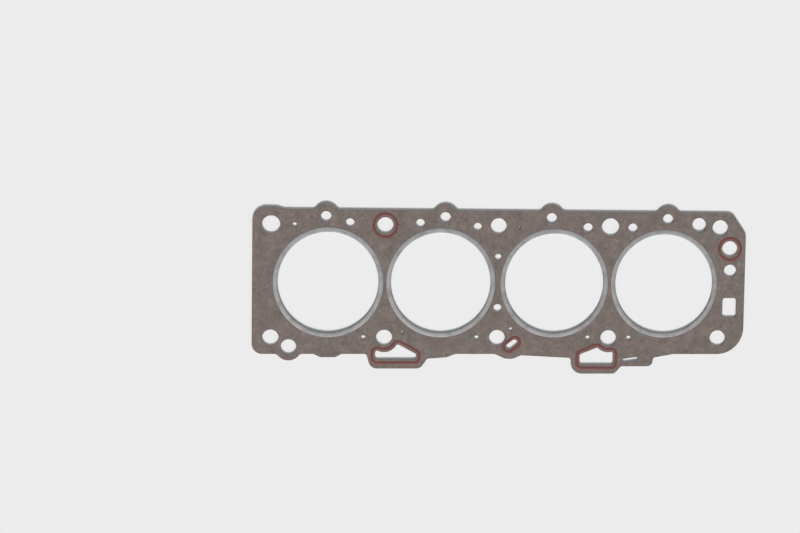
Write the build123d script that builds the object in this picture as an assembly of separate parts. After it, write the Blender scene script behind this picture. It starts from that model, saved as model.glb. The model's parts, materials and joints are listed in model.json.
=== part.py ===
from build123d import *
from math import radians, sqrt, tan
import os

# Cylinder head gasket for an in-line four, composite kind: a steel carrier sheet with a fibre facing on
# each face, a folded steel fire ring round each bore, and elastomer beads printed round the passages
# that carry oil or coolant past a joint under pressure. Millimetres. X runs along the cylinder row, Y
# across it, Z up through the thickness. Everything is drawn from the middle of the row (x = 0), the line
# of the bore centres (y = 0) and the plane that the gasket lies on (z = 0). The last step moves it so
# that the origin is under the middle of its outline.

# ---- Thicknesses
CARRIER_T = 0.45  # steel sheet in the middle
FACING_T = 0.6  # fibre facing, each side
RING_SHEET_T = 0.2  # steel of the fire rings
BEAD_H = 0.2  # printed bead above its facing
FIT = 0.1  # between a fire ring's fold and the edges that it wraps

# ---- Bores and fire rings
BORE_R = 46.2  # clear radius inside a fire ring
FLANGE_W = 4.2  # radial width of a fire ring
NOSE_SHARE = 0.35  # of a ring's height: how far the fold tapers in at the bore, each side
RING_R = BORE_R + FLANGE_W
LAND_OUTER = 3.0  # facing left between rings 1 and 2, and 3 and 4
LAND_CENTRE = 5.2  # facing left between rings 2 and 3

# ---- Head bolts: five columns, two rows. Rows are set out from the line that touches the fire rings.
BOLT_HOLE_R = 7.6
DOWEL_HOLE_R = 8.4  # two upper bolts run through locating dowels
DOWEL_COLUMNS = (0, 3)
FEED_COLUMNS = (1,)  # oil climbs to the head round the upper bolt here, so it has a bead
END_BOLT_OUT = 2.0  # end columns beyond the outer rings
UPPER_ROW_OUT = 1.9
LOWER_ROW_OUT = 0.8

# ---- Plain edges of the sheet
TOP_LAND = 15.9  # beyond the fire rings
BOTTOM_LAND = 15.6
LEFT_LAND = 17.0  # beyond the end bolts
RIGHT_LAND = 24.7
CORNER_TOP_LEFT_R = 12.0
CORNER_BOTTOM_LEFT_R = 9.5
CORNER_BOTTOM_RIGHT_R = 25.0
CHAMFER_X, CHAMFER_Y, CHAMFER_R = 13.9, 19.8, 9.0  # top right corner
BOLT_BOSS_RISE = 2.1  # the edge steps out over the first upper bolt
BOLT_BOSS_START, BOLT_BOSS_END = 12.2, 4.7  # its ramp, from that bolt
EDGE_R, TIGHT_EDGE_R, EASY_EDGE_R = 5.0, 3.0, 10.0  # corners along the edge

# ---- Four tabs on the upper edge, each with a drain hole
TAB_R = 12.4
TAB_HOLE_R = 5.05
TAB_HOLE_DROP = 6.3  # below the plain upper edge
TAB_FILLET_R = 4.0
TAB_FROM_OUTER_BORE = 2.4  # outwards
TAB_FROM_INNER_BORE = 3.5  # towards the middle

# ---- Round boss on the lower edge, beside the first bolt
BOSS_R, BOSS_HOLE_R = 12.3, 7.2
BOSS_DX, BOSS_DY = 16.5, -8.5  # from the first lower bolt
BOSS_FILLET_R = 5.0

# ---- Coolant holes above the bores
JACKET_R = 4.2  # either side of the second bolt column
JACKET_DX, JACKET_OUT = 19.6, 4.0  # from the two bores beside it, and out from the ring line
MIDDLE_JACKET_R, MIDDLE_JACKET_DX = 4.0, 19.5  # left of the middle bolt
REAR_JACKET_R, REAR_JACKET_DX = 4.6, 21.2  # either side of the fourth bolt
JACKET_DROP = 0.9  # these three sit this much lower than the bolt row
BRIDGE_UPPER_R, BRIDGE_LOWER_R, BRIDGE_DY = 3.3, 4.0, 23.6  # between bores 2 and 3

# ---- Small metering and vent holes near a column's bolt: (dx, dy, radius)
UPPER_VENTS = {0: [(21.4, -0.1, 2.3)], 2: [(19.5, -1.3, 1.3)]}
LOWER_VENTS = {
    1: [(-19.2, 0, 2.4), (16.7, 4.9, 1.5)],
    2: [(-19.2, 0, 2.4), (12.6, 7.9, 2.0)],
    3: [(-19.6, 0, 2.4), (19.2, 0, 2.4)],
}

# ---- Passages at the right-hand end, set in from the right-hand edge
END_HOLE_R, END_HOLE_IN, END_HOLE_UP = 6.75, 44.9, 2.7  # up from the upper row
GALLERY_R, GALLERY_IN, GALLERY_DROP = 7.5, 15.0, 19.5  # pressure oil, with a bead
RETURN_R, RETURN_IN, RETURN_DROP = 6.1, 14.2, 40.1  # down from the upper row
PORT_W, PORT_H, PORT_R, PORT_IN, PORT_UP = 13.2, 18.6, 2.5, 14.1, 28.8  # up from the lower row

# ---- Two coolant windows in the lower edge. Each curves round the bolt beside it, at the same land.
WINDOW_LAND = 5.6
WINDOW_CORNER_R = 2.0
WINDOW_EDGE = 8.0  # sheet left below a window
FRONT_NEAR, FRONT_FAR, FRONT_SHOULDER, FRONT_SLOPE, FRONT_H = 8.3, 29.9, 14.9, 28.0, 5.4
REAR_NEAR, REAR_FAR, REAR_SHOULDER, REAR_SLOPE, REAR_H = 4.9, 26.7, 15.2, 21.6, 10.0

# ---- Lower edge: a swell below the first bore, then the feet that carry the windows
SWELL_DROP, SWELL_HALF, SWELL_RAMP = 3.0, 6.8, 6.2
FOOT_SIDE, FOOT_FLARE = 4.1, 3.7  # sheet beside a window, and more at the top of the foot's ramp
FRONT_FOOT_FLARE, FRONT_FOOT_R = 6.0, 8.0  # flare on the foot's far side, and its lower corners
SHELF_DROP, SHELF_RISE, SHELF_RUN, SHELF_RAMP = 4.4, 1.4, 18.5, 7.5  # edge beyond the front foot
REAR_SHELF_DROP, REAR_FOOT_SIDE, REAR_FOOT_FLARE = 3.7, 7.3, 1.0
TOE_SIDE, TOE_RAMP, TOE_DROP = 1.7, 6.0, 1.1  # the toe reaches this far below the window
TOE_END, TOE_SLANT, TOE_SHELF_DROP, TOE_TAPER = 42.2, 0.8, 3.4, 19.5  # from the fourth bolt

# ---- Slanted slot beside the middle bolt, and the plain slot in the rear foot
SLOT_L, SLOT_W, SLOT_TURN = 12.0, 5.8, 38.0
SLOT_FROM_BOLT, SLOT_DROP = 6.3, 6.2  # out from the hole's edge, and below the row
SLOT_BEAD_L, SLOT_BEAD_W, SLOT_BEAD_R = 16.6, 9.5, 4.7
SLOT_SWELL_DROP, SLOT_SWELL_LEFT, SLOT_SWELL_RIGHT = 4.5, 5.8, 1.4  # of the edge below it
SLOT_SWELL_RAMP_LEFT, SLOT_SWELL_RAMP_RIGHT, SLOT_SWELL_STAY = 9.8, 7.3, 1.2
FOOT_SLOT_L, FOOT_SLOT_W, FOOT_SLOT_TURN = 15.0, 3.8, 8.0
FOOT_SLOT_DX, FOOT_SLOT_UP = 21.4, 6.0  # from the fourth bolt, and up from the foot's edge

# ---- Beads
BEAD_W = 2.7
BEAD_CREST_SHARE = 0.45  # of its width: the level top, between sloping sides
BEAD_GAP = 2.8  # from a passage's edge to the middle of its bead
FEED_BEAD_GAP = 3.1  # the same round the bolt hole that carries oil

# ---- Worked out from the above
BODY_T = CARRIER_T + 2 * FACING_T
BODY_Z = max(RING_SHEET_T, BEAD_H)  # the gasket lies on what stands prouder
RING_T = BODY_T + 2 * RING_SHEET_T
CARRIER_Z = BODY_Z + FACING_T
UPPER_Z = CARRIER_Z + CARRIER_T
TOP_Z = BODY_Z + BODY_T
NOSE = NOSE_SHARE * RING_T
INNER_NOSE = NOSE + RING_SHEET_T * (sqrt(2) - 1)  # keeps the sheet's thickness round the taper

pitch_outer = 2 * RING_R + LAND_OUTER
pitch_centre = 2 * RING_R + LAND_CENTRE
bore_x = [
    -pitch_centre / 2 - pitch_outer,
    -pitch_centre / 2,
    pitch_centre / 2,
    pitch_centre / 2 + pitch_outer,
]
bolt_x = [
    bore_x[0] - RING_R - END_BOLT_OUT,
    (bore_x[0] + bore_x[1]) / 2,
    0,
    (bore_x[2] + bore_x[3]) / 2,
    bore_x[3] + RING_R + END_BOLT_OUT,
]
upper_y = RING_R + UPPER_ROW_OUT
lower_y = -RING_R - LOWER_ROW_OUT
top = RING_R + TOP_LAND
bottom = -RING_R - BOTTOM_LAND
left = bolt_x[0] - LEFT_LAND
right = bolt_x[4] + RIGHT_LAND
tab_x = [
    bore_x[0] - TAB_FROM_OUTER_BORE,
    bore_x[1] + TAB_FROM_INNER_BORE,
    bore_x[2] - TAB_FROM_INNER_BORE,
    bore_x[3] + TAB_FROM_OUTER_BORE,
]
tab_y = top - TAB_HOLE_DROP
boss = (bolt_x[0] + BOSS_DX, lower_y + BOSS_DY)
window_relief_r = BOLT_HOLE_R + WINDOW_LAND


def disc(x, y, r):
    return Pos(x, y) * Circle(r)


def window(bolt, side, near, far, shoulder, slope, height):
    """A coolant window: its foot and ends are straight, its roof falls away from the bolt at `slope`
    degrees, and the bolt's land is cut out of it. `side` is the way it runs from the bolt."""
    shoulder_y = lower_y - shoulder
    foot_y = shoulder_y - height
    roof_y = shoulder_y + far * tan(radians(slope))
    corners = [(-near, foot_y), (far, foot_y), (far, shoulder_y), (0, roof_y), (-near, lower_y)]
    blank = make_face(Polyline(*[(bolt + side * u, v) for u, v in corners], close=True))
    opening = blank - disc(bolt, lower_y, window_relief_r)
    return fillet(opening.vertices(), WINDOW_CORNER_R)


front_window = window(bolt_x[1], 1, FRONT_NEAR, FRONT_FAR, FRONT_SHOULDER, FRONT_SLOPE, FRONT_H)
rear_window = window(bolt_x[3], -1, REAR_NEAR, REAR_FAR, REAR_SHOULDER, REAR_SLOPE, REAR_H)
front_foot = front_window.bounding_box().min.Y - WINDOW_EDGE
rear_foot = rear_window.bounding_box().min.Y - WINDOW_EDGE
toe = rear_foot + WINDOW_EDGE - TOE_DROP  # lower edge of the sheet round the plain slot
slot_x = bolt_x[2] + BOLT_HOLE_R + SLOT_FROM_BOLT
slot_y = lower_y - SLOT_DROP


def sheet_outline():
    """The outer edge, as corners (x, y, radius), from the lower left and round anticlockwise."""
    front, rear = bolt_x[1], bolt_x[3]
    front_left, front_right = front - FRONT_NEAR, front + FRONT_FAR
    rear_left, rear_right = rear - REAR_FAR, rear + REAR_NEAR
    shelf_end = front_right + FOOT_SIDE + FRONT_FOOT_FLARE + SHELF_RUN
    corners = [
        (left, bottom, CORNER_BOTTOM_LEFT_R),
        # swell below the first bore
        (bore_x[0] - SWELL_HALF - SWELL_RAMP, bottom, EDGE_R),
        (bore_x[0] - SWELL_HALF, bottom - SWELL_DROP, EDGE_R),
        (bore_x[0] + SWELL_HALF, bottom - SWELL_DROP, EDGE_R),
        (bore_x[0] + SWELL_HALF + SWELL_RAMP, bottom, EDGE_R),
        # foot round the front window, and the shelf beyond it
        (front_left - FOOT_SIDE - FOOT_FLARE, bottom, TIGHT_EDGE_R),
        (front_left - FOOT_SIDE, front_foot, FRONT_FOOT_R),
        (front_right + FOOT_SIDE, front_foot, FRONT_FOOT_R),
        (front_right + FOOT_SIDE + FRONT_FOOT_FLARE, bottom - SHELF_DROP, TIGHT_EDGE_R),
        (shelf_end, bottom - SHELF_DROP + SHELF_RISE, EASY_EDGE_R),
        (shelf_end + SHELF_RAMP, bottom, EASY_EDGE_R),
        # swell below the slanted slot
        (slot_x - SLOT_SWELL_LEFT - SLOT_SWELL_RAMP_LEFT, bottom, EASY_EDGE_R),
        (slot_x - SLOT_SWELL_LEFT, bottom - SLOT_SWELL_DROP, EASY_EDGE_R),
        (slot_x + SLOT_SWELL_RIGHT, bottom - SLOT_SWELL_DROP, EASY_EDGE_R),
        (slot_x + SLOT_SWELL_RIGHT + SLOT_SWELL_RAMP_RIGHT, bottom - SLOT_SWELL_STAY, EDGE_R),
        # foot round the rear window, with a toe for the plain slot
        (rear_left - REAR_FOOT_SIDE - REAR_FOOT_FLARE, bottom - REAR_SHELF_DROP, TIGHT_EDGE_R),
        (rear_left - REAR_FOOT_SIDE, rear_foot, EASY_EDGE_R),
        (rear_right + TOE_SIDE, rear_foot, EDGE_R),
        (rear_right + TOE_SIDE + TOE_RAMP, toe, TIGHT_EDGE_R),
        (rear + TOE_END, toe, EDGE_R),
        (rear + TOE_END + TOE_SLANT, bottom - TOE_SHELF_DROP, TIGHT_EDGE_R),
        (rear + TOE_END + TOE_SLANT + TOE_TAPER, bottom, EASY_EDGE_R),
        (right, bottom, CORNER_BOTTOM_RIGHT_R),
        (right, top - CHAMFER_Y, CHAMFER_R),
        (right - CHAMFER_X, top, CHAMFER_R),
        # step over the first upper bolt
        (bolt_x[0] + BOLT_BOSS_START, top, EASY_EDGE_R),
        (bolt_x[0] + BOLT_BOSS_END, top + BOLT_BOSS_RISE, EASY_EDGE_R),
        (left, top + BOLT_BOSS_RISE, CORNER_TOP_LEFT_R),
    ]
    edge = FilletPolyline(*[c[:2] for c in corners], radius=[c[2] for c in corners], close=True)
    face = make_face(edge)
    bumps = [(x, tab_y, TAB_R, TAB_FILLET_R) for x in tab_x] + [(*boss, BOSS_R, BOSS_FILLET_R)]
    for x, y, r, _ in bumps:
        face += disc(x, y, r)
    for x, y, r, fillet_r in bumps:
        centre = Vector(x, y)
        meets = [v for v in face.vertices() if abs((Vector(*v) - centre).length - r) < 0.001]
        face = fillet(meets, fillet_r)
    return face


def slot_place(turn):
    return Pos(slot_x, slot_y) * Rot(0, 0, turn)


feed_bolt = disc(bolt_x[FEED_COLUMNS[0]], upper_y, BOLT_HOLE_R)
gallery = disc(right - GALLERY_IN, upper_y - GALLERY_DROP, GALLERY_R)
slanted_slot = slot_place(SLOT_TURN) * SlotOverall(SLOT_L, SLOT_W)


def passages():
    """Every opening in the sheet but the bores."""
    holes = [front_window, rear_window, feed_bolt, gallery, slanted_slot]
    for column, x in enumerate(bolt_x):
        if column not in FEED_COLUMNS:
            holes.append(disc(x, upper_y, DOWEL_HOLE_R if column in DOWEL_COLUMNS else BOLT_HOLE_R))
        holes.append(disc(x, lower_y, BOLT_HOLE_R))
    holes += [disc(x, tab_y, TAB_HOLE_R) for x in tab_x]
    holes.append(disc(*boss, BOSS_HOLE_R))
    holes.append(disc(bore_x[0] + JACKET_DX, RING_R + JACKET_OUT, JACKET_R))
    holes.append(disc(bore_x[1] - JACKET_DX, RING_R + JACKET_OUT, JACKET_R))
    holes.append(disc(bolt_x[2] - MIDDLE_JACKET_DX, upper_y - JACKET_DROP, MIDDLE_JACKET_R))
    for side in (-1, 1):
        x = bolt_x[3] + side * REAR_JACKET_DX
        holes.append(disc(x, upper_y - JACKET_DROP, REAR_JACKET_R))
    holes.append(disc(bolt_x[2], BRIDGE_DY, BRIDGE_UPPER_R))
    holes.append(disc(bolt_x[2], -BRIDGE_DY, BRIDGE_LOWER_R))
    for row_y, vents in ((upper_y, UPPER_VENTS), (lower_y, LOWER_VENTS)):
        for column, column_vents in vents.items():
            holes += [disc(bolt_x[column] + dx, row_y + dy, r) for dx, dy, r in column_vents]
    holes.append(disc(right - END_HOLE_IN, upper_y + END_HOLE_UP, END_HOLE_R))
    holes.append(disc(right - RETURN_IN, upper_y - RETURN_DROP, RETURN_R))
    port = RectangleRounded(PORT_W, PORT_H, PORT_R)
    holes.append(Pos(right - PORT_IN, lower_y + PORT_UP) * port)
    foot_slot = Pos(bolt_x[3] + FOOT_SLOT_DX, toe + FOOT_SLOT_UP) * Rot(0, 0, FOOT_SLOT_TURN)
    holes.append(foot_slot * SlotOverall(FOOT_SLOT_L, FOOT_SLOT_W))
    return holes


def fire_ring():
    """One sheet folded to a U round the bore edge. The fold's nose is tapered on both sides, and the
    sheet keeps its thickness round it."""
    foot = [(FLANGE_W, 0), (NOSE, 0), (0, NOSE)]
    inside = [(RING_SHEET_T, INNER_NOSE), (INNER_NOSE, RING_SHEET_T), (FLANGE_W, RING_SHEET_T)]
    head = [(r, RING_T - z) for r, z in reversed(foot)]
    inside_head = [(r, RING_T - z) for r, z in reversed(inside)]
    points = [(BORE_R + r, 0, z) for r, z in foot + head + inside_head + inside]
    section = make_face(Polyline(*points, close=True))
    return Pos(0, 0, BODY_Z - RING_SHEET_T) * revolve(section, Axis.Z)


def bead(line, z, up):
    """A printed bead, flat-topped with sloping sides, that runs round the wire `line`."""
    along = line % 0
    plane = Plane(origin=line @ 0, x_dir=Vector(0, 0, 1).cross(along), z_dir=along)
    foot, crest = BEAD_W / 2, BEAD_W * BEAD_CREST_SHARE / 2
    top_z = BEAD_H if up else -BEAD_H
    points = [(-foot, 0), (foot, 0), (crest, top_z), (-crest, top_z)]
    section = plane * make_face(Polyline(*points, close=True))
    return Pos(0, 0, z) * sweep(section, path=line, transition=Transition.ROUND)


def bead_line(opening, gap=BEAD_GAP):
    """The middle of the bead round an opening, at `gap` from its edge."""
    return offset(opening, gap).face().outer_wire()


outline = sheet_outline()
cut_sheet = outline - passages()
bore_edge_r = BORE_R + INNER_NOSE + FIT
sheet = cut_sheet - [disc(x, 0, bore_edge_r) for x in bore_x]

pieces = {
    "lower_facing": Pos(0, 0, BODY_Z) * extrude(sheet, FACING_T),
    "carrier_plate": Pos(0, 0, CARRIER_Z) * extrude(sheet, CARRIER_T),
    "upper_facing": Pos(0, 0, UPPER_Z) * extrude(sheet, FACING_T),
}
for number, x in enumerate(bore_x, start=1):
    pieces[f"fire_ring_{number}"] = Pos(x, 0, 0) * fire_ring()

slot_bead = slot_place(SLOT_TURN) * RectangleRounded(SLOT_BEAD_L, SLOT_BEAD_W, SLOT_BEAD_R)
bead_lines = {
    "feed_bolt": bead_line(feed_bolt, FEED_BEAD_GAP),
    "oil_gallery": bead_line(gallery),
    "front_window": bead_line(front_window),
    "rear_window": bead_line(rear_window),
    "slanted_slot": slot_bead.face().outer_wire(),
}
for name, line in bead_lines.items():
    pieces[f"upper_bead_{name}"] = bead(line, TOP_Z, up=True)
    pieces[f"lower_bead_{name}"] = bead(line, BODY_Z, up=False)

middle = outline.bounding_box().center()
os.makedirs("parts", exist_ok=True)
for name, piece in pieces.items():
    export_step(Pos(-middle.X, -middle.Y, 0) * piece, f"parts/{name}.step")
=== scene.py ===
"""Cylinder head gasket: finishes for the sheets, rolled fire rings and printed beads.

Lengths are in metres unless a name ends in _mm, and every place is in the part's own frame.
"""

import json
import logging
import math
from collections.abc import Callable
from dataclasses import dataclass
from enum import Enum
from typing import TypeAlias

import bmesh
import bpy
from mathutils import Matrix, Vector


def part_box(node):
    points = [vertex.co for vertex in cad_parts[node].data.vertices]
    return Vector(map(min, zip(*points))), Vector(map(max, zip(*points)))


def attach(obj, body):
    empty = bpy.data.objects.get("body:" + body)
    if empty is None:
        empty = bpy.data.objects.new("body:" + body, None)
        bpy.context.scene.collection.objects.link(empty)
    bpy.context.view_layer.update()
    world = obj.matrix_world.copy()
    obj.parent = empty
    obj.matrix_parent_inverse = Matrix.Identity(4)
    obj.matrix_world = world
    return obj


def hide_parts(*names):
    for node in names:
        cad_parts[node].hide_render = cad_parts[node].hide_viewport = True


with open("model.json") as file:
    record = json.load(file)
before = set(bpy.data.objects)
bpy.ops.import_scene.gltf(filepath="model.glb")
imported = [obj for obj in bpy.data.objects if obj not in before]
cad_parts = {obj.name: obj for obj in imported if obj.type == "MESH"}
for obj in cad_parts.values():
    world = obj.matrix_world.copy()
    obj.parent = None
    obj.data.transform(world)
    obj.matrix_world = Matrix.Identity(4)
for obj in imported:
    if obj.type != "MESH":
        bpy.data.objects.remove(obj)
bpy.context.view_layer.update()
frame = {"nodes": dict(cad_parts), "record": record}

log = logging.getLogger("head_gasket")

MM = 0.001
BODY = "root"
WELD = 1e-6  # points nearer than this are one point
SAME_HEIGHT = 10 * WELD  # points nearer in height than this are level with each other
LEVEL = 0.99  # a face is level if its normal is more upright than this
SMOOTH_BELOW = math.radians(38)  # faces that meet at less than this are shaded as one

Colour: TypeAlias = tuple[float, float, float, float]
Triple: TypeAlias = tuple[float, float, float]
Term: TypeAlias = "Wire | float"
MeshPart: TypeAlias = "bmesh.types.BMVert | bmesh.types.BMEdge"


def paint(red: float, green: float, blue: float) -> Colour:
    """Gives the linear colour of a display colour.

    Args:
        red: Red from 0 to 255.
        green: Green from 0 to 255.
        blue: Blue from 0 to 255.

    Returns:
        The four numbers that a shader's colour socket takes.
    """
    linear = []
    for channel in (red, green, blue):
        share = channel / 255
        # The two branches of the usual display curve.
        linear.append(share / 12.92 if share <= 0.04045 else ((share + 0.055) / 1.055) ** 2.4)
    return (*linear, 1.0)


# ---- Shader graphs


class Wire:
    """A value that travels through a shader graph. On numbers, its operators add Math nodes."""

    def __init__(self, graph: "Graph", socket: bpy.types.NodeSocket) -> None:
        """Wraps one output socket of a graph's node."""
        self.graph = graph
        self.socket = socket

    def _math(self, operation: str, first: Term, second: Term) -> "Wire":
        """Adds one Math node.

        Args:
            operation: The node's operation.
            first: A wire or a number.
            second: A wire or a number.

        Returns:
            The node's result.
        """
        node = self.graph.add("ShaderNodeMath", {"operation": operation}, {0: first, 1: second})
        return Wire(self.graph, node.outputs[0])

    def __add__(self, other: Term) -> "Wire":
        """Adds."""
        return self._math("ADD", self, other)

    def __radd__(self, other: Term) -> "Wire":
        """Adds, with the number first."""
        return self._math("ADD", other, self)

    def __sub__(self, other: Term) -> "Wire":
        """Subtracts."""
        return self._math("SUBTRACT", self, other)

    def __rsub__(self, other: Term) -> "Wire":
        """Subtracts from a number."""
        return self._math("SUBTRACT", other, self)

    def __mul__(self, other: Term) -> "Wire":
        """Multiplies."""
        return self._math("MULTIPLY", self, other)

    def __rmul__(self, other: Term) -> "Wire":
        """Multiplies, with the number first."""
        return self._math("MULTIPLY", other, self)

    def __pow__(self, other: Term) -> "Wire":
        """Raises to a power."""
        return self._math("POWER", self, other)

    def __lt__(self, other: Term) -> "Wire":
        """Gives 1 where this is the smaller, and 0 elsewhere."""
        return self._math("LESS_THAN", self, other)

    def at_most(self, limit: Term) -> "Wire":
        """Gives the smaller of this and a limit."""
        return self._math("MINIMUM", self, limit)

    def at_least(self, limit: Term) -> "Wire":
        """Gives the larger of this and a limit."""
        return self._math("MAXIMUM", self, limit)

    def ramp(self, low: float, high: float) -> "Wire":
        """Eases from 0 at one value to 1 at another.

        Args:
            low: The value that gives 0.
            high: The value that gives 1, which may be the lower of the two.

        Returns:
            The eased share.
        """
        node = self.graph.add(
            "ShaderNodeMapRange",
            {"interpolation_type": "SMOOTHSTEP"},
            {"Value": self, "From Min": low, "From Max": high, "To Min": 0.0, "To Max": 1.0},
        )
        return Wire(self.graph, node.outputs["Result"])


class Graph:
    """The node tree of a material or of the world."""

    FLECK_CORE = 0.35  # the share of a fleck's radius that has its full strength
    MIX_LOW, MIX_HIGH, MIX_RESULT = 6, 7, 2  # the colour sockets of a Mix node

    def __init__(self, tree: bpy.types.NodeTree) -> None:
        """Takes an empty tree."""
        self.tree = tree
        tree.nodes.clear()

    def add(
        self,
        kind: str,
        settings: dict[str, object] | None = None,
        inputs: dict[str | int, object] | None = None,
    ) -> bpy.types.Node:
        """Adds a node of any type.

        Args:
            kind: The node's type.
            settings: Its own settings, which are set first.
            inputs: For each socket, a wire to link or a value to set.

        Returns:
            The new node.
        """
        node = self.tree.nodes.new(kind)
        for name, value in (settings or {}).items():
            setattr(node, name, value)
        for name, value in (inputs or {}).items():
            if isinstance(value, Wire):
                self.tree.links.new(value.socket, node.inputs[name])
            else:
                node.inputs[name].default_value = value
        return node

    def wire(self, node: bpy.types.Node, output: str | int = 0) -> Wire:
        """Takes hold of one output of a node."""
        return Wire(self, node.outputs[output])

    def vector(self, operation: str, first: Wire, second: Wire | Triple) -> Wire:
        """Adds one Vector Math node.

        Args:
            operation: The node's operation.
            first: A wire that carries a point or a colour.
            second: Another such wire, or three numbers.

        Returns:
            The node's result.
        """
        node = self.add("ShaderNodeVectorMath", {"operation": operation}, {0: first, 1: second})
        return self.wire(node)

    def place(self) -> Wire:
        """Gives the point's place on the part, in metres."""
        return self.wire(self.add("ShaderNodeTexCoord"), "Object")

    def looked_at(self) -> Wire:
        """Tells rays that show a backdrop from rays that only carry its light.

        Returns:
            1 where it is seen straight, in a mirror or through glass, and 0 elsewhere.
        """
        rays = self.add("ShaderNodeLightPath")
        seen = self.wire(rays, "Is Camera Ray") + self.wire(rays, "Is Glossy Ray")
        return (seen + self.wire(rays, "Is Transmission Ray")).at_most(1.0)

    def stretched(self, point: Wire, stretch: Triple, turn: float = 0.0) -> Wire:
        """Turns a point about the vertical and then scales it along each axis.

        Args:
            point: The point.
            stretch: The scale along X, Y and Z.
            turn: The turn, in degrees.

        Returns:
            The point that a pattern is then read at.
        """
        turned = self.add(
            "ShaderNodeMapping",
            {"vector_type": "POINT"},
            {"Vector": point, "Rotation": (0.0, 0.0, math.radians(turn))},
        )
        return self.vector("MULTIPLY", self.wire(turned), stretch)

    def noise(self, point: Wire, grain_mm: float, detail: float, rough: float = 0.5) -> Wire:
        """Gives cloudy noise.

        Args:
            point: Where it is read.
            grain_mm: The size of its largest patches.
            detail: How many finer octaves it has.
            rough: How strong the finer octaves are.

        Returns:
            A value about 0.5.
        """
        node = self.add(
            "ShaderNodeTexNoise",
            {"noise_dimensions": "3D"},
            {"Vector": point, "Scale": 1 / (grain_mm * MM), "Detail": detail, "Roughness": rough},
        )
        return self.wire(node)

    def flecks(self, point: Wire, pitch_mm: float, radius_mm: float, share: float) -> Wire:
        """Gives scattered round specks.

        Args:
            point: Where they are read.
            pitch_mm: The size of the cells, which hold one speck at most.
            radius_mm: The radius at which a speck has faded out.
            share: The share of the cells that hold one.

        Returns:
            1 in the middle of a speck, fading to 0 at its edge.
        """
        node = self.add(
            "ShaderNodeTexVoronoi",
            {"voronoi_dimensions": "3D", "feature": "F1"},
            {"Vector": point, "Scale": 1 / (pitch_mm * MM), "Randomness": 1.0},
        )
        reach = radius_mm / pitch_mm
        near = self.wire(node, "Distance").ramp(reach, reach * self.FLECK_CORE)
        pick = self.add("ShaderNodeSeparateColor", {}, {"Color": self.wire(node, "Color")})
        return near * (self.wire(pick) < share)

    def mix(self, share: Wire, low: Wire | Colour, high: Wire | Colour) -> Wire:
        """Blends two colours.

        Args:
            share: 0 for the first colour and 1 for the second.
            low: The first colour, as a wire or a colour.
            high: The second colour, as a wire or a colour.

        Returns:
            The blended colour.
        """
        ends = {0: share, self.MIX_LOW: low, self.MIX_HIGH: high}
        node = self.add("ShaderNodeMix", {"data_type": "RGBA"}, ends)
        return self.wire(node, self.MIX_RESULT)

    def upright(self, start: float = 0.3, end: float = 0.8) -> Wire:
        """Tells walls from level faces.

        Args:
            start: The squared sine of the tilt at which a face starts to count as a wall.
            end: The squared sine of the tilt from which it counts in full.

        Returns:
            1 on a wall that stands upright and 0 on a level face.
        """
        normal = self.wire(self.add("ShaderNodeNewGeometry"), "Normal")
        parts = self.add("ShaderNodeSeparateXYZ", {}, {0: normal})
        tilt = self.wire(parts, 2)
        return (1 - tilt * tilt).ramp(start, end)

    def tone(self, colour: Wire, level: Wire) -> Wire:
        """Makes a colour lighter or darker.

        Args:
            colour: The colour.
            level: The factor, about 1.

        Returns:
            The colour times the factor.
        """
        spread = self.add("ShaderNodeCombineXYZ", {}, {0: level, 1: level, 2: level})
        return self.vector("MULTIPLY", colour, self.wire(spread))

    def bump(self, height: Wire, depth_mm: float) -> Wire:
        """Turns a height into a surface normal.

        Args:
            height: The height, from 0 to 1.
            depth_mm: How far 1 stands above 0.

        Returns:
            The normal.
        """
        node = self.add(
            "ShaderNodeBump", {}, {"Strength": 1.0, "Distance": depth_mm * MM, "Height": height}
        )
        return self.wire(node)


class Finish:
    """What every finish shares: a material with one Principled surface."""

    def material(self, name: str) -> bpy.types.Material:
        """Makes the material.

        Args:
            name: The material's name.

        Returns:
            The material, ready to put on a piece.
        """
        made = bpy.data.materials.new(name)
        made.use_nodes = True
        graph = Graph(made.node_tree)
        surface = graph.add("ShaderNodeBsdfPrincipled", {}, self.sockets(graph))
        graph.add("ShaderNodeOutputMaterial", {}, {"Surface": graph.wire(surface)})
        return made

    def sockets(self, graph: Graph) -> dict[str, object]:
        """Gives what each socket of the surface is fed."""
        raise NotImplementedError


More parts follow.
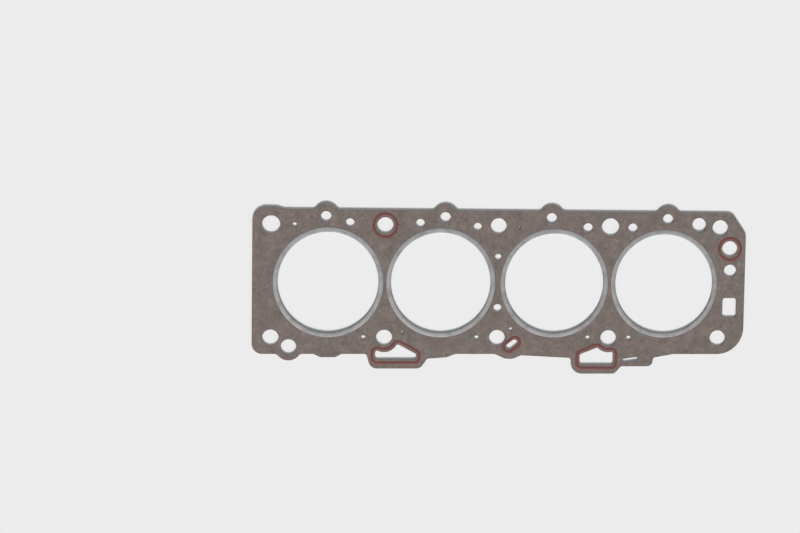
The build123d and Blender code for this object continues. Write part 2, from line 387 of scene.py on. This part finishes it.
@dataclass(frozen=True)
class FibreFacing(Finish):
    """Matt fibre sheet with graphite in it: brown-grey, clouded and flecked, with a fine grain."""

    ground: Colour = paint(120, 107, 102)
    rosy: Colour = paint(131, 113, 107)
    olive: Colour = paint(107, 104, 97)
    graphite: Colour = paint(57, 54, 53)
    fibre: Colour = paint(168, 156, 148)
    cut: Colour = paint(92, 84, 79)
    patch_strength: float = 0.65  # of the rosy and the olive patches
    streak_strength: float = 0.36  # of the graphite and the fibre streaks
    streak_stretch: Triple = (0.4, 1.0, 1.0)
    speck_strength: float = 0.48
    mark_strength: float = 0.44
    fleck_share: float = 0.34  # of the cells that hold a speck or a mark
    cut_strength: float = 0.7
    roughness: float = 0.72
    grain_depth_mm: float = 0.05

    def sockets(self, graph: Graph) -> dict[str, object]:
        """Feeds the colour, the roughness and the normal.

        Args:
            graph: The material's graph.

        Returns:
            A value or a wire for each socket.
        """
        point = graph.place()
        turned = graph.stretched(point, stretch=(1.0, 1.0, 1.0), turn=37)
        one_way = graph.stretched(point, stretch=self.streak_stretch, turn=24)
        other_way = graph.stretched(point, stretch=self.streak_stretch, turn=-58)
        cloud = graph.noise(point, grain_mm=9, detail=4, rough=0.62)
        flush = graph.noise(point, grain_mm=5.5, detail=3, rough=0.6)
        tarnish = graph.noise(turned, grain_mm=3.4, detail=3, rough=0.6)
        along = graph.noise(one_way, grain_mm=2.0, detail=3, rough=0.6)
        across = graph.noise(other_way, grain_mm=2.1, detail=3, rough=0.6)
        mottle = graph.noise(point, grain_mm=2.4, detail=3, rough=0.65)
        grain = graph.noise(point, grain_mm=0.55, detail=3, rough=0.6)
        specks = graph.flecks(point, pitch_mm=3.1, radius_mm=0.85, share=self.fleck_share)
        marks = graph.flecks(point, pitch_mm=7, radius_mm=1.8, share=self.fleck_share)
        marks = marks * mottle.ramp(0.38, 0.58)
        dark = (specks * self.speck_strength).at_least(marks * self.mark_strength)
        rosy = flush.ramp(0.42, 0.66) * self.patch_strength
        olive = tarnish.ramp(0.45, 0.66) * self.patch_strength
        streaks = along.ramp(0.54, 0.72) * self.streak_strength
        strands = across.ramp(0.55, 0.74) * self.streak_strength
        colour = graph.mix(rosy, self.ground, self.rosy)
        colour = graph.mix(olive, colour, self.olive)
        colour = graph.mix(streaks, colour, self.graphite)
        colour = graph.mix(strands, colour, self.fibre)
        colour = graph.mix(dark, colour, self.graphite)
        colour = graph.mix(graph.upright() * self.cut_strength, colour, self.cut)
        height = grain * 0.6 + along * 0.25 + across * 0.15
        return {
            "Base Color": graph.tone(colour, 0.21 + cloud * 0.9 + mottle * 0.52 + grain * 0.14),
            "Roughness": self.roughness + (grain - 0.5) * 0.2 - specks * 0.12,
            "Normal": graph.bump(height, self.grain_depth_mm),
        }


@dataclass(frozen=True)
class TinnedSteel(Finish):
    """Dull tinned steel strip, drawn round a bore, with faint rings from the tool."""

    centre: Vector
    plain: Colour = paint(156, 156, 157)
    dull: Colour = paint(139, 139, 140)
    dull_strength: float = 0.8
    scuff_stretch: Triple = (0.2, 1.0, 1.0)
    roughness: float = 0.62
    line_depth_mm: float = 0.003

    def sockets(self, graph: Graph) -> dict[str, object]:
        """Feeds the colour, the roughness and the normal.

        Args:
            graph: The material's graph.

        Returns:
            A value or a wire for each socket.
        """
        point = graph.place()
        away = graph.vector("SUBTRACT", point, tuple(self.centre))
        parts = graph.add("ShaderNodeSeparateXYZ", {}, {0: away})
        radius = (graph.wire(parts, 0) ** 2 + graph.wire(parts, 1) ** 2) ** 0.5
        rings = graph.add("ShaderNodeCombineXYZ", {}, {0: radius, 1: graph.wire(parts, 2)})
        streaked = graph.stretched(point, stretch=self.scuff_stretch, turn=31)
        drawn = graph.noise(graph.wire(rings), grain_mm=0.16, detail=2)
        dull = graph.noise(point, grain_mm=9, detail=4, rough=0.6).ramp(0.4, 0.7)
        scuffs = graph.noise(streaked, grain_mm=0.5, detail=3).ramp(0.62, 0.8)
        rolled = graph.upright(start=0.02, end=0.14)
        colour = graph.mix(dull * self.dull_strength, self.plain, self.dull)
        return {
            "Base Color": graph.tone(colour, 0.95 + drawn * 0.1 - scuffs * 0.12),
            "Metallic": 1.0,
            "Roughness": self.roughness + dull * 0.1 + scuffs * 0.12 + rolled * 0.15,
            "Normal": graph.bump(drawn, self.line_depth_mm),
        }


@dataclass(frozen=True)
class CarrierSteel(Finish):
    """Bare rolled sheet, seen at the cut edges of the gasket."""

    plain: Colour = paint(176, 174, 171)
    stained: Colour = paint(128, 120, 112)
    stain_strength: float = 0.6
    shear_stretch: Triple = (1.0, 1.0, 0.12)
    roughness: float = 0.42
    shear_depth_mm: float = 0.01

    def sockets(self, graph: Graph) -> dict[str, object]:
        """Feeds the colour, the roughness and the normal.

        Args:
            graph: The material's graph.

        Returns:
            A value or a wire for each socket.
        """
        point = graph.place()
        stain = graph.noise(point, grain_mm=5, detail=4, rough=0.6).ramp(0.45, 0.75)
        shear = graph.noise(graph.stretched(point, self.shear_stretch), grain_mm=0.12, detail=2)
        colour = graph.mix(stain * self.stain_strength, self.plain, self.stained)
        return {
            "Base Color": graph.tone(colour, 0.92 + shear * 0.16),
            "Metallic": 1.0,
            "Roughness": self.roughness + shear * 0.16,
            "Normal": graph.bump(shear, self.shear_depth_mm),
        }


@dataclass(frozen=True)
class PrintedSilicone(Finish):
    """Terracotta silicone, screen-printed and cured, with a soft gloss."""

    plain: Colour = paint(111, 61, 56)
    deep: Colour = paint(96, 53, 49)
    deep_strength: float = 0.7
    roughness: float = 0.56
    print_depth_mm: float = 0.03

    def sockets(self, graph: Graph) -> dict[str, object]:
        """Feeds the colour, the roughness and the normal.

        Args:
            graph: The material's graph.

        Returns:
            A value or a wire for each socket.
        """
        point = graph.place()
        cloud = graph.noise(point, grain_mm=6, detail=3, rough=0.6)
        print_mesh = graph.noise(point, grain_mm=0.4, detail=2)
        colour = graph.mix(cloud.ramp(0.4, 0.7) * self.deep_strength, self.plain, self.deep)
        return {
            "Base Color": graph.tone(colour, 0.94 + print_mesh * 0.12),
            "Roughness": self.roughness + (cloud - 0.5) * 0.2,
            "Normal": graph.bump(cloud * 0.5 + print_mesh * 0.5, self.print_depth_mm),
        }


@dataclass(frozen=True)
class PaleFloor(Finish):
    """Plain matt studio floor."""

    colour: Colour = (0.8, 0.8, 0.8, 1.0)
    seen: Colour = (0.97, 0.97, 0.97, 1.0)

    def sockets(self, graph: Graph) -> dict[str, object]:
        """Feeds the colour, which is paler where it is looked at than where it lights the part.

        Args:
            graph: The material's graph.

        Returns:
            A value or a wire for each socket.
        """
        return {
            "Base Color": graph.mix(graph.looked_at(), self.colour, self.seen),
            "Roughness": 1.0,
            "Specular IOR Level": 0.0,
        }


# ---- Modelling by hand


class Element(Enum):
    """What edit mode selects."""

    VERT = "verts"
    EDGE = "edges"


class Workpiece:
    """One new piece, shaped with Blender's own operators."""

    def __init__(self, name: str, made: bpy.types.Object) -> None:
        """Names an object that was just added, and makes it the only one selected.

        Args:
            name: The piece's name.
            made: The object.
        """
        self.object = made
        made.name = name
        made.data.name = name
        deselect_all()
        made.select_set(True)
        bpy.context.view_layer.objects.active = made

    def select(self, element: Element, test: Callable[[MeshPart], bool]) -> None:
        """Selects in edit mode what passes a test, and nothing else.

        Args:
            element: What is selected.
            test: Says of one vertex or edge whether it is taken.
        """
        bpy.ops.object.mode_set(mode="EDIT")
        bpy.ops.mesh.select_mode(type=element.name)
        bpy.ops.mesh.select_all(action="DESELECT")
        mesh = bmesh.from_edit_mesh(self.object.data)
        mesh.normal_update()
        for part in [part for part in getattr(mesh, element.value) if test(part)]:
            part.select_set(True)
        mesh.select_flush_mode()
        bmesh.update_edit_mesh(self.object.data)

    def select_all(self) -> None:
        """Selects everything in edit mode."""
        bpy.ops.object.mode_set(mode="EDIT")
        bpy.ops.mesh.select_all(action="SELECT")

    def weld(self) -> None:
        """Joins points that lie on each other, and turns all faces outwards."""
        self.select_all()
        bpy.ops.mesh.remove_doubles(threshold=WELD)
        bpy.ops.mesh.normals_make_consistent(inside=False)

    def modify(self, kind: str, **settings: object) -> None:
        """Adds a modifier and applies it.

        Args:
            kind: The modifier's type.
            **settings: Its settings.
        """
        bpy.ops.object.mode_set(mode="OBJECT")
        bpy.ops.object.modifier_add(type=kind)
        modifier = self.object.modifiers[-1]
        for name, value in settings.items():
            setattr(modifier, name, value)
        bpy.ops.object.modifier_apply(modifier=modifier.name)

    def finish(self, material: bpy.types.Material, slot: str, stands_for: str) -> None:
        """Puts the piece in its place in the part.

        Args:
            material: Its finish.
            slot: The part's name for that finish. It is not used.
            stands_for: The plain solid that it replaces.
        """
        bpy.ops.object.mode_set(mode="OBJECT")
        bpy.ops.object.transform_apply(location=True, rotation=True, scale=True)
        bpy.ops.object.shade_smooth_by_angle(angle=SMOOTH_BELOW)
        self.object.data.materials.clear()
        self.object.data.materials.append(material)
        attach(self.object, BODY)
        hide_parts(stands_for)
        log.info("%s: %d faces", self.object.name, len(self.object.data.polygons))


def deselect_all() -> None:
    """Leaves object mode's selection empty."""
    bpy.ops.object.select_all(action="DESELECT")


def dress(node: str, material: bpy.types.Material) -> None:
    """Gives one of the part's own solids its finish.

    Args:
        node: The solid's name.
        material: Its finish.
    """
    mesh = frame["nodes"][node].data
    mesh.materials.clear()
    mesh.materials.append(material)
    log.info("%s: dressed as %s", node, material.name)


# ---- Sub-assemblies


@dataclass
class Laminate:
    """The three sheets of the gasket: a steel carrier between two fibre facings."""

    facings: tuple[str, str] = ("upper_facing", "lower_facing")
    carrier: str = "carrier_plate"

    def build(self) -> None:
        """Dresses the sheets, which keep their own shapes."""
        fibre = FibreFacing().material("fibre_facing")
        for facing in self.facings:
            dress(facing, fibre)
        dress(self.carrier, CarrierSteel().material("carrier_steel"))


@dataclass
class FireRing:
    """A steel eyelet rolled round one bore, with a nose in the bore and a flange on each face."""

    number: int
    bore_r: float
    sheet_t: float
    nose_w: float = 1.15 * MM
    nose_steps: int = 9
    turn_steps: int = 160
    crease_from: float = 0.45 * MM  # from the nose to the tool's line on the flange
    crease_w: float = 0.5 * MM
    crease_depth: float = 0.02 * MM
    rim_round: float = 0.05 * MM
    rim_run: float = 3.0  # how far the rim runs outwards for each length that it drops
    edge_share: float = 0.2  # of the sheet's thickness that each rounded edge takes
    edge_steps: int = 2
    edge_from: float = math.radians(60)  # the least turn that counts as an edge

    def build(self) -> None:
        """Makes the ring and puts it in place of its plain solid."""
        node = f"fire_ring_{self.number}"
        low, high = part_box(node)
        centre = (low + high) / 2
        outer_r = (high.x - low.x) / 2
        half_t = (high.z - low.z) / 2
        ring = self.nose(centre, half_t)
        self.flange(ring, outer_r)
        self.turn(ring, centre)
        finish = TinnedSteel(Vector((centre.x, centre.y, 0.0)))
        ring.finish(finish.material(f"tinned_steel_{self.number}"), "ring_steel", node)

    def nose(self, centre: Vector, half_t: float) -> Workpiece:
        """Makes a quarter of the nose's round section, from the middle of the wall to the top.

        Args:
            centre: The middle of the ring.
            half_t: Half of its height.

        Returns:
            The open line, with its object at the middle of the ring.
        """
        deselect_all()
        bpy.ops.mesh.primitive_circle_add(
            vertices=4 * self.nose_steps,
            radius=half_t,
            location=centre,
            rotation=(math.pi / 2, 0.0, 0.0),
        )
        ring = Workpiece(f"rolled_fire_ring_{self.number}", bpy.context.object)
        bpy.ops.object.transform_apply(location=False, rotation=True, scale=False)
        ring.select(Element.VERT, lambda vert: vert.co.x > WELD or vert.co.z < -WELD)
        bpy.ops.mesh.delete(type="VERT")
        ring.select_all()
        bpy.ops.transform.resize(value=(self.nose_w / half_t, 1.0, 1.0), center_override=centre)
        bpy.ops.transform.translate(value=(self.bore_r + self.nose_w, 0.0, 0.0))
        return ring

    def flange(self, ring: Workpiece, outer_r: float) -> None:
        """Draws the line on from the top of the nose to the outer edge, over the tool's crease.

        Args:
            ring: The open line of the nose.
            outer_r: The radius of the outer edge.
        """
        start = self.bore_r + self.nose_w
        rest = outer_r - start - self.crease_from - self.crease_w - self.rim_round
        steps = (
            (self.crease_from, 0.0),
            (self.crease_w / 2, -self.crease_depth),
            (self.crease_w / 2, self.crease_depth),
            (rest, 0.0),
            (self.rim_round, -self.rim_round / self.rim_run),
        )
        ring.select(Element.VERT, lambda vert: abs(vert.co.x - start) < WELD)
        for outward, up in steps:
            bpy.ops.mesh.extrude_region_move(
                TRANSFORM_OT_translate={"value": (outward, 0.0, up)}
            )

    def turn(self, ring: Workpiece, centre: Vector) -> None:
        """Turns the line round the bore, mirrors it below and gives the sheet its thickness.

        Args:
            ring: The open line of nose and flange.
            centre: The middle of the ring.
        """
        ring.select_all()
        bpy.ops.mesh.spin(
            steps=self.turn_steps, angle=2 * math.pi, center=centre, axis=(0.0, 0.0, 1.0)
        )
        ring.weld()
        ring.modify("MIRROR", use_axis=(False, False, True), merge_threshold=WELD)
        ring.modify("SOLIDIFY", thickness=self.sheet_t, offset=-1.0, use_even_offset=True)
        ring.modify(
            "BEVEL",
            width=self.sheet_t * self.edge_share,
            segments=self.edge_steps,
            angle_limit=self.edge_from,
        )
        ring.weld()


@dataclass
class PrintedBead:
    """A silicone bead printed on a facing round one passage."""

    node: str
    round_share: float = 0.42  # of the crest's width that each rounded edge takes
    crest_w: float = 1.215 * MM
    round_steps: int = 4

    def build(self, material: bpy.types.Material) -> None:
        """Makes the rounded bead and puts it in place of its plain solid.

        Args:
            material: Its finish.
        """
        mesh = frame["nodes"][self.node].data.copy()
        made = bpy.data.objects.new(f"printed_{self.node}", mesh)
        bpy.context.scene.collection.objects.link(made)
        bead = Workpiece(f"printed_{self.node}", made)
        bead.weld()
        bpy.ops.mesh.tris_convert_to_quads()
        low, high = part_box(self.node)
        crest = low.z if self.node.startswith("lower") else high.z
        bead.select(Element.EDGE, lambda edge: self.edges_crest(edge, crest))
        bpy.ops.mesh.bevel(
            offset=self.crest_w * self.round_share,
            segments=self.round_steps,
            affect="EDGES",
            clamp_overlap=True,
        )
        bead.finish(material, "bead_silicone", self.node)

    @staticmethod
    def edges_crest(edge: bmesh.types.BMEdge, crest: float) -> bool:
        """Says whether an edge runs along the crest, between its flat and a slope.

        Args:
            edge: The edge.
            crest: The crest's height.

        Returns:
            Whether it does.
        """
        high = all(abs(vert.co.z - crest) < SAME_HEIGHT for vert in edge.verts)
        flats = [abs(face.normal.z) > LEVEL for face in edge.link_faces]
        return high and len(flats) == 2 and flats[0] != flats[1]


# ---- Studio


@dataclass
class Studio:
    """Plain pale floor, soft light from the near side and a camera that looks down on the part."""

    sky_level: float = 0.36
    sky_seen: float = 0.97
    floor_size: float = 12.0
    lamp_from: Triple = (-0.15, -1.25, 1.0)
    lamp_spread: float = 16.0  # degrees
    lamp_level: float = 0.58  # how bright it makes a level white surface
    camera_place: Triple = (-0.23025, 0.12394, 1.41965)
    camera_turn: Triple = (-4.2088, -5.4018, 0.7217)  # degrees
    sensor_mm: float = 36.0
    lens_mm: float = 70.02

    def build(self) -> None:
        """Makes the camera, the floor, the lamp and the sky."""
        self.camera()
        self.floor()
        self.lamp()
        self.sky()
        log.info("studio: ready")

    def camera(self) -> None:
        """Makes the camera and looks through it."""
        data = bpy.data.cameras.new("camera")
        data.sensor_fit = "HORIZONTAL"
        data.sensor_width = self.sensor_mm
        data.lens = self.lens_mm
        camera = bpy.data.objects.new("camera", data)
        camera.location = self.camera_place
        camera.rotation_euler = [math.radians(angle) for angle in self.camera_turn]
        bpy.context.scene.collection.objects.link(camera)
        bpy.context.scene.camera = camera

    def floor(self) -> None:
        """Makes the floor that the part lies on."""
        deselect_all()
        bpy.ops.mesh.primitive_plane_add(size=self.floor_size, location=(0.0, 0.0, 0.0))
        floor = bpy.context.object
        floor.name = "floor"
        floor.data.materials.append(PaleFloor().material("pale_floor"))

    def lamp(self) -> None:
        """Makes the lamp, whose soft parallel light comes over the part's near side."""
        towards = Vector(self.lamp_from)
        data = bpy.data.lights.new("lamp", "SUN")
        data.angle = math.radians(self.lamp_spread)
        data.energy = self.lamp_level * math.pi / towards.normalized().z
        lamp = bpy.data.objects.new("lamp", data)
        lamp.location = towards
        lamp.rotation_euler = (-towards).to_track_quat("-Z", "Y").to_euler()
        bpy.context.scene.collection.objects.link(lamp)

    def sky(self) -> None:
        """Makes the even light all round, which looks pale where it is seen."""
        world = bpy.data.worlds.new("sky")
        world.use_nodes = True
        bpy.context.scene.world = world
        graph = Graph(world.node_tree)
        level = self.sky_level + graph.looked_at() * (self.sky_seen - self.sky_level)
        light = graph.add("ShaderNodeBackground", {}, {"Strength": level})
        graph.add("ShaderNodeOutputWorld", {}, {"Surface": graph.wire(light)})
        bpy.context.scene.view_settings.view_transform = "Standard"


def bore_radius() -> float:
    """Gives the radius of the bores, as the part's record states it."""
    bores = [mount for mount in frame["record"]["mounts"] if mount["kind"] == "bore"]
    return bores[0]["dims"]["r_mm"] * MM


def main() -> None:
    """Builds the studio and the part, in order."""
    logging.basicConfig(level=logging.INFO, format="%(name)s: %(message)s")
    Studio().build()
    Laminate().build()
    flange_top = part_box("fire_ring_1")[1].z
    sheet_t = flange_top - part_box("upper_facing")[1].z  # a flange lies flat on its facing
    rings = sorted(node for node in frame["nodes"] if node.startswith("fire_ring"))
    for number in range(1, len(rings) + 1):
        FireRing(number, bore_radius(), sheet_t).build()
    silicone = PrintedSilicone().material("printed_silicone")
    for node in sorted(node for node in frame["nodes"] if "_bead_" in node):
        PrintedBead(node).build(silicone)


if __name__ == "__main__":
    main()
